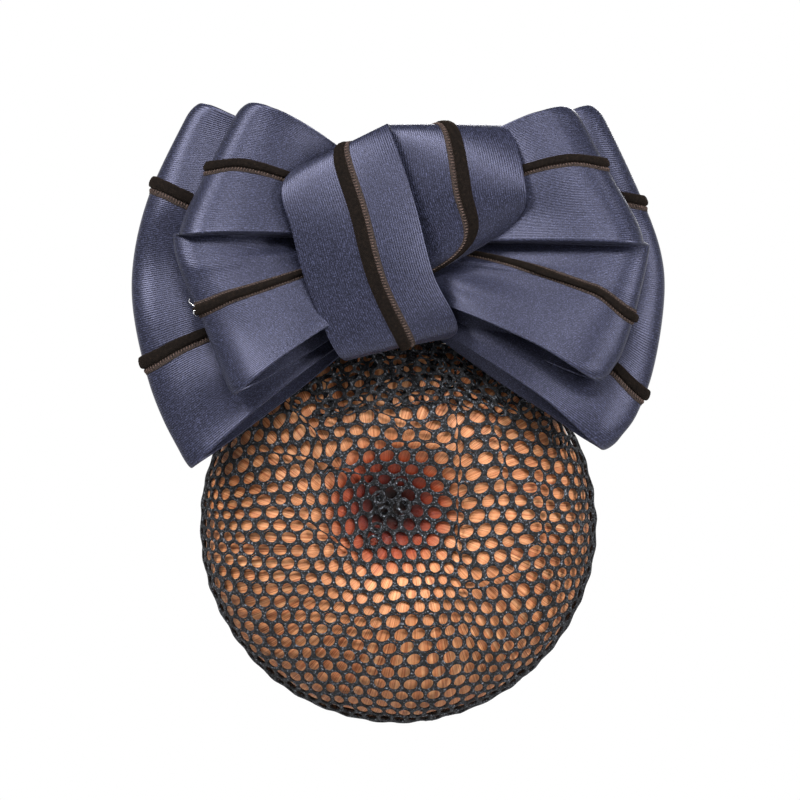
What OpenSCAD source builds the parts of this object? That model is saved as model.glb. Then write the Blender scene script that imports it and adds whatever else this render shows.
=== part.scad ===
// Satin hair bow on a spring barrette, with a knitted snood net and a removable display bun.
// Millimetres. The front faces -Y, +Z is up, the wearer's head is on the +Y side.
// The origin is the centre of the gap that grips the hair.

/* [Bow] */
// Width across the outer loops
bow_w = 130; // [116:1:156]
// Height of the outer loops along their folds
bow_h = 89; // [80:1:106]
// Width across the inner loops
inner_w = 114; // [100:1:124]
// Thickness of the satin ribbon with its stiffening
satin_t = 0.6; // [0.5:0.05:0.7]
// Width of a velvet stripe
velvet_w = 4.2; // [3:0.1:6]
// Height of the velvet pile over the satin
velvet_t = 0.45; // [0.35:0.05:0.55]
// Bend radius of a loop at its fold
fold_r = 2.4; // [2:0.1:2.8]
// Height of the pinched centre of the outer loops
outer_pinch_h = 32; // [28:1:36]
// Height of the pinched centre of the inner loops
inner_pinch_h = 27; // [24:1:31]

/* [Knot] */
// Width of the knot ribbons where they lie open
knot_w = 29; // [24:1:32]
// How far the knot stands forward of the pinched loops
knot_rise = 15; // [14:0.5:20]

/* [Snood and bun] */
// Outer radius of the net over the bun
net_r = 49.5; // [46:0.5:54]
// Thickness of the knitted net
net_t = 1.2; // [0.8:0.1:1.6]
// Depth of the bun from the head to its crest
bun_depth = 38; // [34:1:42]
// Height of the bun's centre, below the hair gap
bun_drop = 64; // [64:1:72]
// Slack between the bun and the net
net_slack = 0.3; // [0.3:0.05:0.6]
// Thickness of the elastic cord in the net's rim
elastic_d = 1.1; // [0.8:0.1:1.4]

/* [Barrette] */
// Length of the barrette plate along its chord
plate_len = 80; // [70:1:90]
// Width of the barrette plate
plate_w = 10; // [9:0.5:12]
// Thickness of the plate, clasp arm and release wings
sheet_t = 0.8; // [0.6:0.05:1]
// Radius of the plate's curve on the head side
curve_r = 160; // [150:5:200]
// Gap between the tension bar and the clasp arm
hair_gap = 5.6; // [5.6:0.1:7]
// Diameter of the hinge pin
pin_d = 1.2; // [1:0.1:1.4]

/* [Hidden] */

satin_blue = "#4b4e69";
velvet_brown = "#1e1510";
net_black = "#1c1c20";
hair_brown = "#a8613c";
steel = "silver";

seat = 0.05;        // glue line between pieces that are sewn or glued together
lay_gap = 0.1;      // room between layers that lie flat on each other
wrap_gap = 0.55;    // room between the ribbons that are wrapped round the pinch
stripe_seat = 0.15; // glue line under a velvet stripe
run_fit = 0.05;     // radial clearance of a turning fit
clear = 0.35;       // room between pieces that move past each other

// ---- places along the depth, all measured forward (-Y) from the hair gap ----
bar_t = 0.4;
plate_back = 6;
plate_front = plate_back + sheet_t;
tape_t = 1;
tape_back = plate_front + seat;
pad_t = 1.2;
pad_back = tape_back + tape_t + seat;
pad_front = pad_back + pad_t;
pile = velvet_t + stripe_seat;
side_knot_back = pad_front + lay_gap + pile + satin_t / 2;
front_knot_back = side_knot_back + satin_t + pile + wrap_gap;
thread_t = 0.4;
thread_back = front_knot_back + satin_t / 2 + wrap_gap;
pinch_gap = 1.1;    // half the distance between the two layers of a band at the pinch
outer_y = thread_back + thread_t + lay_gap + pile + satin_t / 2 + pinch_gap;
inner_y = outer_y + 2 * pinch_gap + satin_t + 2 * pile + 2 * lay_gap;
thread_front = inner_y + pinch_gap + satin_t / 2 + pile + wrap_gap;
spread = inner_w / 114; // narrower inner loops open sooner, so the knot stands further forward
knot_front = thread_front + knot_rise / spread;
curve_y = curve_r - plate_back;    // the barrette's curve has its axis here, on the head side

// ---- general functions ----
function lerp(a, b, k) = a + (b - a) * k;
function unit(v) = v / norm(v);
function ease(k) = k * k * (3 - 2 * k);
function reversed(list) = [for (i = [len(list) - 1:-1:0]) list[i]];
function clamp(k, low, high) = max(low, min(high, k));
function cubic(a, b, c, d, k) =
  0.5 * (2 * b + (c - a) * k + (2 * a - 5 * b + 4 * c - d) * k * k
         + (3 * b - a - 3 * c + d) * k * k * k);
// smooth line through the points of an open list, k from 0 to 1
function open_spline(p, k) =
  let (n = len(p) - 1, u = clamp(k, 0, 1) * n, i = min(floor(u), n - 1),
       first = i == 0 ? 2 * p[0] - p[1] : p[i - 1],
       last = i + 2 > n ? 2 * p[n] - p[n - 1] : p[i + 2])
  cubic(first, p[i], p[i + 1], last, u - i);
// smooth line round the points of a closed list, k from 0 to 1
function closed_spline(p, k) =
  let (n = len(p), u = (k - floor(k)) * n, i = floor(u) % n)
  cubic(p[(i + n - 1) % n], p[i], p[(i + 1) % n], p[(i + 2) % n], u - floor(u));

// ---- a folded ribbon band: two loops that share a pinched centre ----
// Each fold line runs from the lower edge of the ribbon to the upper one. A point is its reach
// sideways and its height, as shares of the half width and half height, and its depth in mm
// forward of the pinched centre.
bow_mid_z = -5;
outer_fold_left = [
  [-0.785, -1.00, 12], [-0.93, -0.52, 8.5], [-1.00, 0.00, 5.5], [-0.935, 0.52, 4], [-0.77, 0.99, 3]];
outer_fold_right = [
  [0.80, -0.90, 12], [0.945, -0.45, 8.5], [1.00, 0.05, 5.5], [0.91, 0.53, 4], [0.75, 0.98, 3]];
inner_fold_left = [
  [-0.705, -0.60, 16], [-0.82, -0.20, 12.5], [-0.935, 0.20, 9.5], [-0.835, 0.595, 8], [-0.66, 0.98, 7]];
inner_fold_right = [
  [0.88, -0.525, 16], [0.99, -0.145, 12.5], [1.045, 0.225, 9.5], [0.915, 0.605, 8], [0.75, 0.96, 7]];

outer_pinch_z = 4;
inner_pinch_z = 6.5;
// band: [half width, fold line left, fold line right, depth of the centre, height of the
//        centre above the hair gap, height of the pinch]
outer = [bow_w / 2, outer_fold_left, outer_fold_right, outer_y, outer_pinch_z, outer_pinch_h];
inner = [inner_w / 2, inner_fold_left, inner_fold_right, inner_y, inner_pinch_z, inner_pinch_h];
loop_puff = 0.6;      // how far a loop swells between pinch and fold
waist = 0.08;         // how softly the ribbon opens out from the pinch

function fold_point(band, side, v) =
  let (p = open_spline(side < 0 ? band[1] : band[2], (v + 1) / 2))
  [p[0] * band[0], -band[3] - p[2], bow_mid_z + p[1] * bow_h / 2];
function pinch_point(band, v) = [0, -band[3], band[4] + v * band[5] / 2];
function opening(s) = (sqrt(s * s + waist * waist) - waist) / (sqrt(1 + waist * waist) - waist);
function layer_gap(s) = pinch_gap + (fold_r - pinch_gap) * ease(s) + loop_puff * sin(180 * s);

flat_share = 0.375;   // share of a loop's samples on each layer, the rest go round the fold
// a point of one loop: v from -1 at the lower edge to 1 at the upper one, k from 0 at the
// back of the pinch, round the fold, to 1 at its front
function loop_point(band, side, v, k) =
  let (root = pinch_point(band, v), tip = fold_point(band, side, v),
       reach = norm([tip[0] - root[0], tip[2] - root[2]]), run = reach - fold_r,
       on_fold = k > flat_share && k < 1 - flat_share,
       s = min(k, 1 - k) / flat_share,
       turn = lerp(-90, 90, (k - flat_share) / (1 - 2 * flat_share)),
       along = on_fold ? (run + fold_r * cos(turn)) / reach : s * run / reach,
       off = on_fold ? fold_r * sin(turn) : (k < 0.5 ? -1 : 1) * layer_gap(s),
       depth = lerp(root[1], tip[1], sin(90 * along)))
  [along * tip[0], depth - off, lerp(root[2], tip[2], opening(along))];
// a point of the whole band, r from 0 to 1 round the ring from the back of the pinch
function band_point(band, v, r) =
  let (q = r - floor(r))
  q < 0.5 ? loop_point(band, 1, v, 2 * q) : loop_point(band, -1, v, 2 - 2 * q);
function band_normal(band, v, r, d = 0.004) =
  unit(cross(band_point(band, v + d, r) - band_point(band, v - d, r),
             band_point(band, v, r + d) - band_point(band, v, r - d)));
function band_skin(band, v, r, off) = band_point(band, v, r) + off * band_normal(band, v, r);

// ---- closed shells from two grids of points ----
// outside and inside hold rows of points: rows go round a ring, or along a strip with ends
module sheet_solid(outside, inside, ring = true) {
  rows = len(outside);
  cols = len(outside[0]);
  last = ring ? rows - 1 : rows - 2;
  function at(i, j, layer) = ((i % rows) * cols + j) * 2 + layer;
  points = [for (i = [0:rows - 1]) for (j = [0:cols - 1]) each [outside[i][j], inside[i][j]]];
  faces = concat(
    [for (i = [0:last]) for (j = [0:cols - 2]) each [
      [at(i, j, 0), at(i + 1, j, 0), at(i + 1, j + 1, 0)],
      [at(i, j, 0), at(i + 1, j + 1, 0), at(i, j + 1, 0)],
      [at(i, j, 1), at(i + 1, j + 1, 1), at(i + 1, j, 1)],
      [at(i, j, 1), at(i, j + 1, 1), at(i + 1, j + 1, 1)]]],
    [for (i = [0:last]) each [
      [at(i, cols - 1, 0), at(i + 1, cols - 1, 0), at(i + 1, cols - 1, 1)],
      [at(i, cols - 1, 0), at(i + 1, cols - 1, 1), at(i, cols - 1, 1)],
      [at(i, 0, 0), at(i + 1, 0, 1), at(i + 1, 0, 0)],
      [at(i, 0, 0), at(i, 0, 1), at(i + 1, 0, 1)]]],
    ring ? [] : [for (j = [0:cols - 2]) each [
      [at(0, j, 0), at(0, j + 1, 0), at(0, j + 1, 1)],
      [at(0, j, 0), at(0, j + 1, 1), at(0, j, 1)],
      [at(rows - 1, j, 0), at(rows - 1, j + 1, 1), at(rows - 1, j + 1, 0)],
      [at(rows - 1, j, 0), at(rows - 1, j, 1), at(rows - 1, j + 1, 1)]]]);
  polyhedron(points, faces, convexity = 6);
}

ring_steps = 56;
band_cols = 9;
function strip_v(place, r) =
  let (a = sin(360 * r), at_pinch = lerp(place[1], place[2], (1 + a) / 2))
  lerp(at_pinch, a < 0 ? place[0] : place[3], abs(a));
module band_solid(band, low, high, cols, near, far) {
  // low and high are the edges of the strip, each as v values at the left fold, on the left of
  // the pinch, on its right and at the right fold
  grid = function (off) [for (i = [0:ring_steps - 1])
    let (r = i / ring_steps)
    [for (j = [0:cols - 1])
      band_skin(band, lerp(strip_v(low, r), strip_v(high, r), j / (cols - 1)), r, off)]];
  sheet_solid(grid(far), grid(near));
}

// stripe places, as v values
outer_upper_v = [0.52, 0.12, 0.44, 0.44];
outer_lower_v = [-0.40, -0.30, -0.30, -0.60];
inner_upper_v = [0.52, 0.52, 0.60, 0.60];
inner_lower_v = [-0.40, -0.36, 0.10, -0.46];
stripe_half = velvet_w / bow_h;

module satin_band(band)
  band_solid(band, [-1, -1, -1, -1], [1, 1, 1, 1], band_cols, -satin_t / 2, satin_t / 2);
module band_stripe(band, place)
  band_solid(band, [for (v = place) v - stripe_half], [for (v = place) v + stripe_half], 2,
             satin_t / 2 + stripe_seat, satin_t / 2 + pile);

module outer_band() color(satin_blue) satin_band(outer);
module outer_velvet_upper() color(velvet_brown) band_stripe(outer, outer_upper_v);
module outer_velvet_lower() color(velvet_brown) band_stripe(outer, outer_lower_v);
module inner_band() color(satin_blue) satin_band(inner);
module inner_velvet_upper() color(velvet_brown) band_stripe(inner, inner_upper_v);
module inner_velvet_lower() color(velvet_brown) band_stripe(inner, inner_lower_v);

// ---- the knot: two wide ribbons that lie open in front and narrow to pass round the pinch ----
// A station is the middle of the ribbon, the direction of its width and its share of knot_w.
knot_top = 26;
knot_bottom = -17.2;
neck_share = 0.45;
front_knot = [
  [[0, -front_knot_back - 0.5, 22], [1, 0, 0], neck_share],
  [[0, -front_knot_back, 4], [1, 0, 0], neck_share],
  [[0, -front_knot_back, -13], [1, 0, 0], neck_share],
  [[0, -inner_y, knot_bottom], [1, 0, 0], neck_share],
  [[0.5, 4.5 - knot_front, -19.3], [0.97, 0.1, 0.26], 1],
  [[-6.5, 0.5 - knot_front, -4.5], [0.99, 0, 0.12], 1.05],
  [[-11, -knot_front, 12], [0.94, 0, 0.22], 1.05],
  [[-15, 3 - knot_front, 26.6], [0.86, 0.03, 0.46], 1],
  [[-9, -9.3 / pow(spread, 2) - inner_y, 28], [1, 0.1, 0.26], 0.58],
  [[-1, 1.5 - inner_y, knot_top], [1, 0, 0.03], neck_share]];
side_knot = [
  [[0.5, -3 - thread_front, -5.5], [0.9, 0, 0.35], 0.4],
  [[17.3, 6 - knot_front, 4.4], [0.92, -0.05, 0.36], 0.78],
  [[16.5, 3 - knot_front, 18], [1, -0.12, 0.02], 1.08],
  [[13, 6.6 - knot_front, 33.8], [1, 0, 0], 1],
  [[7, 15 - knot_front, 34], [1, 0, 0], 0.75],
  [[0, 1 - outer_y, knot_top + 2.2], [1, 0, 0], neck_share],
  [[0, -side_knot_back - 0.2, 20], [1, 0, 0], neck_share],
  [[0, -side_knot_back - 0.1, 6], [1, 0, 0], neck_share],
  [[0, -side_knot_back, -8], [1, 0, 0], neck_share]];
knot_crown = 2.5;

function knot_line(stations, part, ring, k) =
  let (p = [for (s = stations) s[part]]) ring ? closed_spline(p, k) : open_spline(p, k);
function knot_point(stations, ring, s, k) =
  let (mid = knot_line(stations, 0, ring, k), dir = unit(knot_line(stations, 1, ring, k)),
       share = knot_line(stations, 2, ring, k), open = clamp((share - neck_share) / 0.5, 0, 1))
  mid + dir * s * share * knot_w / 2 + [0, knot_crown * open * s * s, 0];
function knot_normal(stations, ring, s, k, d = 0.004) =
  let (k_low = ring ? k - d : max(0, k - d), k_high = ring ? k + d : min(1, k + d))
  unit(cross(knot_point(stations, ring, s + d, k) - knot_point(stations, ring, s - d, k),
             knot_point(stations, ring, s, k_high) - knot_point(stations, ring, s, k_low)));
function knot_skin(stations, ring, s, k, off) =
  knot_point(stations, ring, s, k) + off * knot_normal(stations, ring, s, k);

knot_steps = 40;
module knot_solid(stations, ring, low, high, cols, near, far) {
  count = ring ? knot_steps : knot_steps + 1;
  grid = function (off) [for (i = [0:count - 1])
    [for (j = [0:cols - 1])
      knot_skin(stations, ring, lerp(low, high, j / (cols - 1)), i / knot_steps, off)]];
  sheet_solid(grid(far), grid(near), ring);
}
knot_stripe_s = 0.1;
knot_stripe_half = velvet_w / knot_w;
module knot_band_front() color(satin_blue)
  knot_solid(front_knot, true, -1, 1, 5, -satin_t / 2, satin_t / 2);
module knot_velvet_front() color(velvet_brown)
  knot_solid(front_knot, true, knot_stripe_s - knot_stripe_half, knot_stripe_s + knot_stripe_half, 2,
             satin_t / 2 + stripe_seat, satin_t / 2 + pile);
module knot_band_side() color(satin_blue)
  knot_solid(side_knot, false, -1, 1, 5, -satin_t / 2, satin_t / 2);
module knot_velvet_side() color(velvet_brown)
  knot_solid(side_knot, false, -knot_stripe_half, knot_stripe_half, 2,
             satin_t / 2 + stripe_seat, satin_t / 2 + pile);

// ---- binding thread round the pinched centre ----
thread_w = 2.4;
module binding_thread() color(velvet_brown)
  let (half = outer_pinch_h / 2 + lay_gap + satin_t, low = outer_pinch_z - half, high = outer_pinch_z + half)
  difference() {
    translate([-thread_w / 2, -thread_front - thread_t, low - thread_t])
      cube([thread_w, thread_front - thread_back + thread_t, high - low + 2 * thread_t]);
    translate([-thread_w, -thread_front, low])
      cube([2 * thread_w, thread_front - thread_back - thread_t, high - low]);
  }

// ---- curved sheets that follow the barrette ----
// back and front are distances forward of the hair gap at x = 0
module curved_sheet(back, front, x_low, x_high, z_low, z_high) {
  turn_low = asin(x_low / (curve_y + back));
  turn_high = asin(x_high / (curve_y + back));
  translate([0, curve_y, 0]) rotate([0, 0, turn_low - 90])
    rotate_extrude(angle = turn_high - turn_low, $fn = 360)
      translate([curve_y + back, z_low]) square([front - back, z_high - z_low]);
}
function curve_shift(x) = curve_r - sqrt(curve_r * curve_r - x * x);

tape_half = 26;
tape_low = -8;
pad_half = 22;
pad_low = -9;
pad_high = 14;
stitch_d = 0.5;
stitch_x = [-18, -9, 9, 18];
hole_d = 1.6;
stitch_top = plate_w / 2 + stitch_d;
stitch_hole_d = stitch_d + 0.2;

module stitch_holes(depth_back, depth_front)
  for (x = stitch_x, z = [0, stitch_top])
    translate([x, -depth_back, z]) rotate([90, 0, 0])
      cylinder(d = stitch_hole_d, h = depth_front - depth_back, $fn = 24);

module header_tape() color(net_black) difference() {
  curved_sheet(tape_back, tape_back + tape_t, -tape_half, tape_half, tape_low, plate_w / 2);
  stitch_holes(0, pad_front + 2);
}
module backing_pad() color(satin_blue) difference() {
  curved_sheet(pad_back, pad_front, -pad_half, pad_half, pad_low, pad_high);
  stitch_holes(0, pad_front + 2);
}
module rod(from, to) {
  run = to - from;
  translate(from) rotate([0, acos(run[2] / norm(run)), atan2(run[1], run[0])])
    cylinder(d = stitch_d, h = norm(run), $fn = 24);
}
module sewing_stitches() color(velvet_brown)
  for (x = stitch_x) {
    back = curve_shift(x) - plate_back + stitch_d / 2 + seat;
    front = curve_shift(x) - pad_front - stitch_d / 2 - seat;
    corners = [[x, back, 0], [x, front, 0], [x, front, stitch_top], [x, back, stitch_top]];
    union() for (i = [0:3]) {
      rod(corners[i], corners[(i + 1) % 4]);
      translate(corners[i]) sphere(d = stitch_d, $fn = 24);
    }
  }

// ---- snood net and bun, turned about an axis along Y ----
straight_h = bun_depth - 20;      // length of the bun's straight side, next to the head
shoulder_h = 20;                  // depth of its rounded shoulder
crest_r = 24;                     // radius of the ring where it stands furthest forward
dimple_h = 8;                     // depth of the hollow in the middle
// outline of the dome, shrunk by g: radius, and distance forward of where the shoulder starts
function dome_outline(g) = concat(
  [for (i = [0:6]) let (k = i / 6)
    [crest_r * k, shoulder_h - g - dimple_h * (1 + cos(180 * k)) / 2]],
  [for (i = [1:12]) let (a = 90 * (1 - i / 12))
    [crest_r + (net_r - g - crest_r) * cos(a), (shoulder_h - g) * sin(a)]]);
module turned() translate([0, 0, -bun_drop]) rotate([90, 0, 0]) rotate_extrude($fn = 180) children();
module dome_shape(g, back) polygon(concat(dome_outline(g), [[net_r - g, -back], [0, -back]]));

elastic_y = straight_h - elastic_d / 2;
net_back = straight_h - elastic_d - seat;
neck_half_top = 19;
neck_half_low = 27;
neck_low = -28;
module net() color(net_black) turned() polygon(concat(
  [[net_r, -net_back]], reversed(dome_outline(0)), dome_outline(net_t), [[net_r - net_t, -net_back]]));
module net_gather() color(net_black) difference() {
  intersection() {
    curved_sheet(tape_back, tape_back + tape_t, -neck_half_low, neck_half_low, neck_low,
                 tape_low - seat);
    rotate([90, 0, 0]) linear_extrude(30, center = true)
      polygon([[-neck_half_top, tape_low], [neck_half_top, tape_low],
               [neck_half_low, neck_low], [-neck_half_low, neck_low]]);
  }
  turned() dome_shape(-seat, net_back);
}
module net_elastic() color("#222226")
  turned() translate([net_r - net_t / 2, -elastic_y]) circle(d = elastic_d, $fn = 24);

doughnut_mid = 29;
doughnut_half = 14;
doughnut_h = 30;
function doughnut_outline(g) = [for (i = [0:16]) let (a = 180 * i / 16)
  [doughnut_mid + (doughnut_half + g) * cos(a), (doughnut_h + g) * sin(a) - straight_h]];
module bun_hair() color(hair_brown) difference() {
  turned() dome_shape(net_t + net_slack, straight_h);
  turned() polygon(concat(doughnut_outline(net_slack),
    [[doughnut_mid - doughnut_half - net_slack, -straight_h - 1],
     [doughnut_mid + doughnut_half + net_slack, -straight_h - 1]]));
}
module bun_doughnut() color("#7a4a30") turned() polygon(doughnut_outline(0));

// ---- barrette ----
arm_near = curve_y - hair_gap / 2;              // radius of the arm's face on the hair gap
arm_far = arm_near - sheet_t;                   // radius of its face on the head side
arm_mid = (arm_near + arm_far) / 2;
bar_back = hair_gap / 2;                        // the tension bar's face on the hair gap
half_len = plate_len / 2;
pin_x = -half_len - 2.5;
eye_r = pin_d / 2 + run_fit + 1.05;
pin_y = curve_y - sqrt(arm_mid * arm_mid - pin_x * pin_x) - eye_r + sheet_t / 2;
ear_t = sheet_t;
ear_in = plate_w / 2 - ear_t;
arm_half = ear_in - 0.7;
knuckle_half = 1.35;
knuckle_gap = 0.25;
wing_x = half_len - 11.5;                       // the wings turn about pivots here
wing_turn = asin(wing_x / arm_mid);
wing_pivot_z = 2.6;
wing_inner_z = 1.7;
wing_outer_z = 4.4;
wing_low = sheet_t / 2 + seat;
wing_t = 0.7;
wing_len = 14.5;
post_r = 0.5;
lip_low = wing_low + wing_t + clear;
lip_t = 0.7;
catch_in = wing_outer_z + clear;
catch_x = [8, 12.4];
catch_base_y = -9.2;

// local frame at the arm's end: x along the arm, y towards the head, z up
module arm_end() translate([0, curve_y, 0]) rotate([0, 0, wing_turn]) translate([0, -arm_mid, 0])
  children();
module along_z(z_low, z_high) translate([0, 0, z_low]) linear_extrude(z_high - z_low) children();
module pin_bore() translate([pin_x, pin_y, -plate_w])
  cylinder(r = pin_d / 2 + run_fit, h = 2 * plate_w, $fn = 48);

module ear_shape() {
  polygon([[3.5 - half_len, curve_shift(half_len) - plate_back - 1.2],
           [-half_len - 1.5, curve_shift(half_len) - plate_back],
           [pin_x - 2.1, pin_y], [pin_x + 2.1, pin_y + 0.6],
           [3.5 - half_len, curve_shift(half_len) - plate_back + 1]]);
  translate([pin_x, pin_y]) circle(r = 2.1, $fn = 48);
}
module barrette_plate() color(steel) difference() {
  union() {
    curved_sheet(plate_back, plate_front, -half_len, half_len, -plate_w / 2, plate_w / 2);
    for (side = [-1, 1])
      along_z(side < 0 ? -plate_w / 2 : ear_in, side < 0 ? -ear_in : plate_w / 2) ear_shape();
    arm_end() {
      catch_span = catch_in + sheet_t;
      translate([catch_x[0] - 0.5, catch_base_y - sheet_t, -catch_span])
        cube([catch_x[1] - catch_x[0], sheet_t + 0.3, 2 * catch_span]);
      for (side = [-1, 1]) {
        along_z(side < 0 ? -catch_span : catch_in, side < 0 ? -catch_in : catch_span)
          polygon([[catch_x[0] - 0.5, catch_base_y - sheet_t], [catch_x[1] - 0.5, catch_base_y - sheet_t],
                   [catch_x[1], lip_low + lip_t], [catch_x[0], lip_low + lip_t]]);
        translate([catch_x[0], lip_low, side < 0 ? -catch_in - seat : wing_outer_z - 0.5])
          cube([catch_x[1] - catch_x[0], lip_t, catch_in + seat - wing_outer_z + 0.5]);
      }
    }
  }
  pin_bore();
  for (x = stitch_x) translate([x, 0, 0]) rotate([90, 0, 0])
    cylinder(d = hole_d, h = 2 * plate_front, center = true, $fn = 48);
}
module hinge_pin() color(steel) translate([pin_x, pin_y, 0]) {
  cylinder(d = pin_d, h = plate_w + sheet_t, center = true, $fn = 48);
  for (side = [-1, 1]) translate([0, 0, side * (plate_w / 2 + seat + sheet_t / 4)])
    cylinder(d = pin_d + 0.8, h = sheet_t / 2, center = true, $fn = 48);
}
module clasp_arm() color(steel) difference() {
  union() {
    arm_sheet();
    translate([pin_x, pin_y, -arm_half]) cylinder(r = eye_r, h = 2 * arm_half, $fn = 48);
    arm_end() {
      translate([-1, -sheet_t / 2, -arm_half]) cube([4, sheet_t, 2 * arm_half]);
      for (side = [-1, 1]) translate([0, 0, side * wing_pivot_z]) rotate([-90, 0, 0]) {
        cylinder(r = post_r, h = wing_low + wing_t + 0.4, $fn = 32);
        translate([0, 0, wing_low + wing_t + seat]) cylinder(r = 0.9, h = 0.4, $fn = 32);
      }
    }
  }
  pin_bore();
  translate([pin_x - 3, pin_y - 4, -knuckle_half - knuckle_gap])
    cube([7.5, 8, 2 * (knuckle_half + knuckle_gap)]);
}
module arm_sheet() {
  turn_low = asin(pin_x / arm_mid);
  translate([0, curve_y, 0]) rotate([0, 0, turn_low - 90])
    rotate_extrude(angle = wing_turn - turn_low, $fn = 360)
      translate([arm_far, -arm_half]) square([sheet_t, 2 * arm_half]);
}
module tension_bar() color("#b9bcc2") difference() {
  bar_half = 2.5;
  bar_end = half_len - 4;
  bar_y = curve_y - sqrt(pow(curve_y + bar_back, 2) - bar_end * bar_end);
  union() {
    curved_sheet(bar_back, bar_back + bar_t, -bar_end, bar_end - 2, -bar_half, bar_half);
    along_z(-knuckle_half, knuckle_half)
      polygon([[-bar_end + 0.2, bar_y - bar_t], [-bar_end + 0.2, bar_y],
               [pin_x + 1.3, pin_y - 0.6], [pin_x + 0.3, pin_y - 1.3]]);
    translate([pin_x, pin_y, -knuckle_half]) cylinder(r = eye_r, h = 2 * knuckle_half, $fn = 48);
  }
  pin_bore();
}
module release_wing(side) color(steel) arm_end() difference() {
  translate([0, wing_low + wing_t, 0]) rotate([90, 0, 0]) linear_extrude(wing_t)
    scale([1, side]) polygon([
      [-1.2, wing_inner_z], [wing_len, wing_inner_z], [wing_len, wing_outer_z + 1.5],
      [catch_x[1] + clear, wing_outer_z + 1.5], [catch_x[1] + clear, wing_outer_z],
      [2.5, wing_outer_z], [1.2, arm_half], [-1.2, arm_half]]);
  translate([0, -1, side * wing_pivot_z]) rotate([-90, 0, 0])
    cylinder(r = post_r + run_fit, h = 4, $fn = 32);
}
module release_wing_upper() release_wing(1);
module release_wing_lower() release_wing(-1);

outer_band();
outer_velvet_upper();
outer_velvet_lower();
inner_band();
inner_velvet_upper();
inner_velvet_lower();
knot_band_front();
knot_velvet_front();
knot_band_side();
knot_velvet_side();
binding_thread();
backing_pad();
header_tape();
sewing_stitches();
net();
net_gather();
net_elastic();
bun_hair();
bun_doughnut();
barrette_plate();
hinge_pin();
clasp_arm();
tension_bar();
release_wing_upper();
release_wing_lower();
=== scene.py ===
"""The looks of a satin hair bow on a spring barrette, with a knitted snood net over a display bun.

All lengths in this file are in millimetres; they become metres where a mesh is made.
The front faces -Y, +Z is up, and the origin is the centre of the gap that grips the hair.
"""

import math

import bmesh
import bpy
import numpy as np
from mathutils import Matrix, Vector


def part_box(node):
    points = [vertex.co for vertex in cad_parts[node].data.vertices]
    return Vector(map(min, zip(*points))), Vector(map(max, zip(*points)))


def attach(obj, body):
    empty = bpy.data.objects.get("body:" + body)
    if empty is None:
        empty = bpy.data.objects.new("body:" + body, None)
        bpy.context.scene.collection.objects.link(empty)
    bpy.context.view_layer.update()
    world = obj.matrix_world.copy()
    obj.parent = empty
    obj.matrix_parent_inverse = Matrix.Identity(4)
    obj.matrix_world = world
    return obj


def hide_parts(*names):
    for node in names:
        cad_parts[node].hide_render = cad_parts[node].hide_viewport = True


MM = 0.001
SEED = 11
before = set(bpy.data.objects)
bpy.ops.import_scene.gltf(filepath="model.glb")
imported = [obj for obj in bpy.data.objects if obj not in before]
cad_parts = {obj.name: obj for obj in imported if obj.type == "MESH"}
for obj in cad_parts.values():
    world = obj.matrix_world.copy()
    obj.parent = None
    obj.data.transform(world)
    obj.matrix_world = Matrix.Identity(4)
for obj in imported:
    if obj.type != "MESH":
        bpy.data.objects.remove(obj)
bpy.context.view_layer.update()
rng = np.random.default_rng(SEED)


def box_mm(node):
    low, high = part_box(node)
    return np.array(low) / MM, np.array(high) / MM


# ---------------------------------------------------------------- sizes from the frame
pad_low, pad_high = box_mm("backing_pad")
tape_low, tape_high = box_mm("header_tape")
net_low, net_high = box_mm("net")
bun_high = box_mm("bun_hair")[1]
sponge_low, sponge_high = box_mm("bun_doughnut")
thread_low = box_mm("binding_thread")[0]

# ---------------------------------------------------------------- driving values, as in the part
bow_w = 130
bow_h = 89
inner_w = 114
satin_t = 0.6
velvet_w = 4.2
velvet_t = 0.45
fold_r = 3.6            # the cloth's own folds are a little fuller than the plain solid's
fold_long = 7.5         # and run out to a soft, narrow edge
outer_pinch_h = 32
inner_pinch_h = 27
knot_w = 29
pinch_gap = 1.1
bow_mid_z = -5
loop_puff = 0.6
waist = 0.08
flat_share = 0.375      # of half the ring, the flat run from the pinch to the fold
stripe_seat = 0.15
wrap_gap = 0.55
lay_gap = 0.1
thread_sunk = 0.4
knot_out = 15           # from the binding thread to the face of the knot
cloth_t = satin_t * 0.9
cloth_face = satin_t * 0.45
pile = velvet_t + stripe_seat
pad_front = -pad_low[1]
side_knot_back = pad_front + lay_gap + pile + satin_t / 2
front_knot_back = side_knot_back + satin_t + pile + wrap_gap
thread_front = -thread_low[1] - thread_sunk
inner_y = thread_front - wrap_gap - pile - satin_t / 2 - pinch_gap
outer_y = inner_y - 2 * pinch_gap - satin_t - 2 * pile - 2 * lay_gap
knot_front = thread_front + knot_out

# the fold of each loop, from its lower to its upper corner: across and up as shares, forward in mm
OUTER_LEFT = [(-0.785, -1.00, 12), (-0.93, -0.52, 8.5), (-1.00, 0.00, 5.5), (-0.935, 0.52, 4),
              (-0.77, 0.99, 3)]
OUTER_RIGHT = [(0.80, -0.90, 12), (0.945, -0.45, 8.5), (1.00, 0.05, 5.5), (0.91, 0.53, 4),
               (0.75, 0.98, 3)]
INNER_LEFT = [(-0.705, -0.60, 16), (-0.82, -0.20, 12.5), (-0.935, 0.20, 9.5), (-0.835, 0.595, 8),
              (-0.66, 0.98, 7)]
INNER_RIGHT = [(0.88, -0.525, 16), (0.99, -0.145, 12.5), (1.045, 0.225, 9.5), (0.915, 0.605, 8),
               (0.75, 0.96, 7)]
OUTER = dict(name="outer", half=bow_w / 2, left=OUTER_LEFT, right=OUTER_RIGHT, y=outer_y, z=4,
             pinch=outer_pinch_h)
INNER = dict(name="inner", half=inner_w / 2, left=INNER_LEFT, right=INNER_RIGHT, y=inner_y, z=6.5,
             pinch=inner_pinch_h)


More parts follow.
